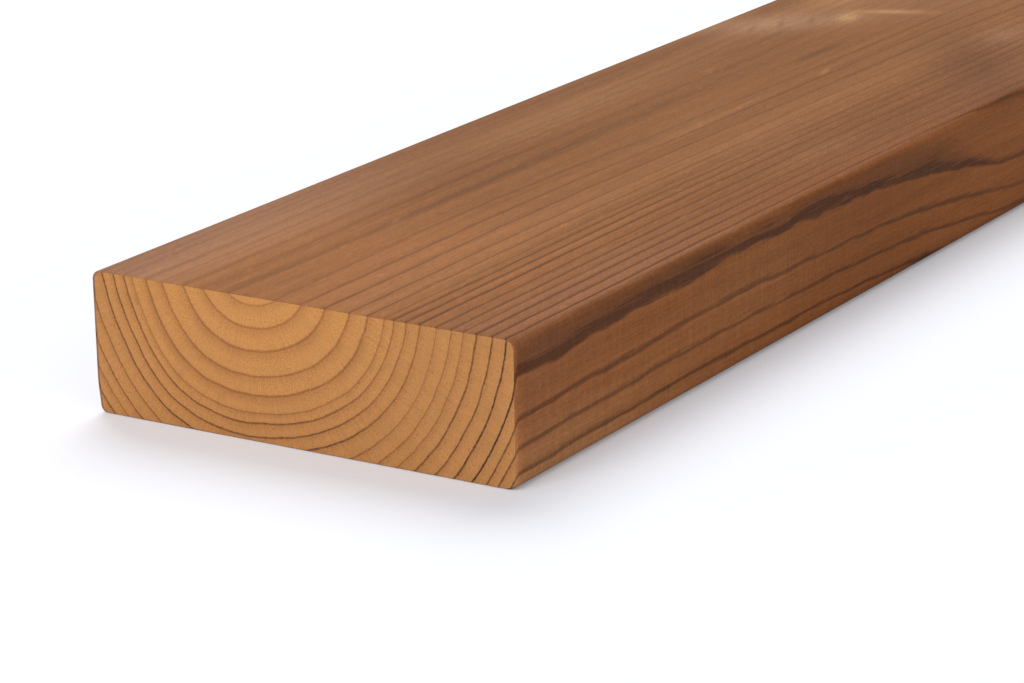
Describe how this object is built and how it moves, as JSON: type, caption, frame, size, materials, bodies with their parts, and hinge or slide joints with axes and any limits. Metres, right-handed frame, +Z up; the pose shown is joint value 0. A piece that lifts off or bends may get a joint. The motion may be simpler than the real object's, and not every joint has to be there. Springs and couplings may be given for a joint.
{
  "type": "heat-treated pine board",
  "caption": "Long planed softwood board, browned by heat treatment, with rounded arrises, square-sawn ends and growth rings that run through its end, faces and edges.",
  "frame": {"origin": "middle of the lower face, in the plane the board lies on", "axes": "+X along the grain, +Y across the face towards the slightly leaning edge, +Z up through the thickness"},
  "size_m": [2.4, 0.14, 0.042],
  "materials": {
    "heat_treated_pine": "planed and unfinished, matt, warm brown with darker growth rings; paler honey-brown on the sawn ends"
  },
  "bodies": {
    "root": {"board": "heat_treated_pine"}
  },
  "joints": []
}
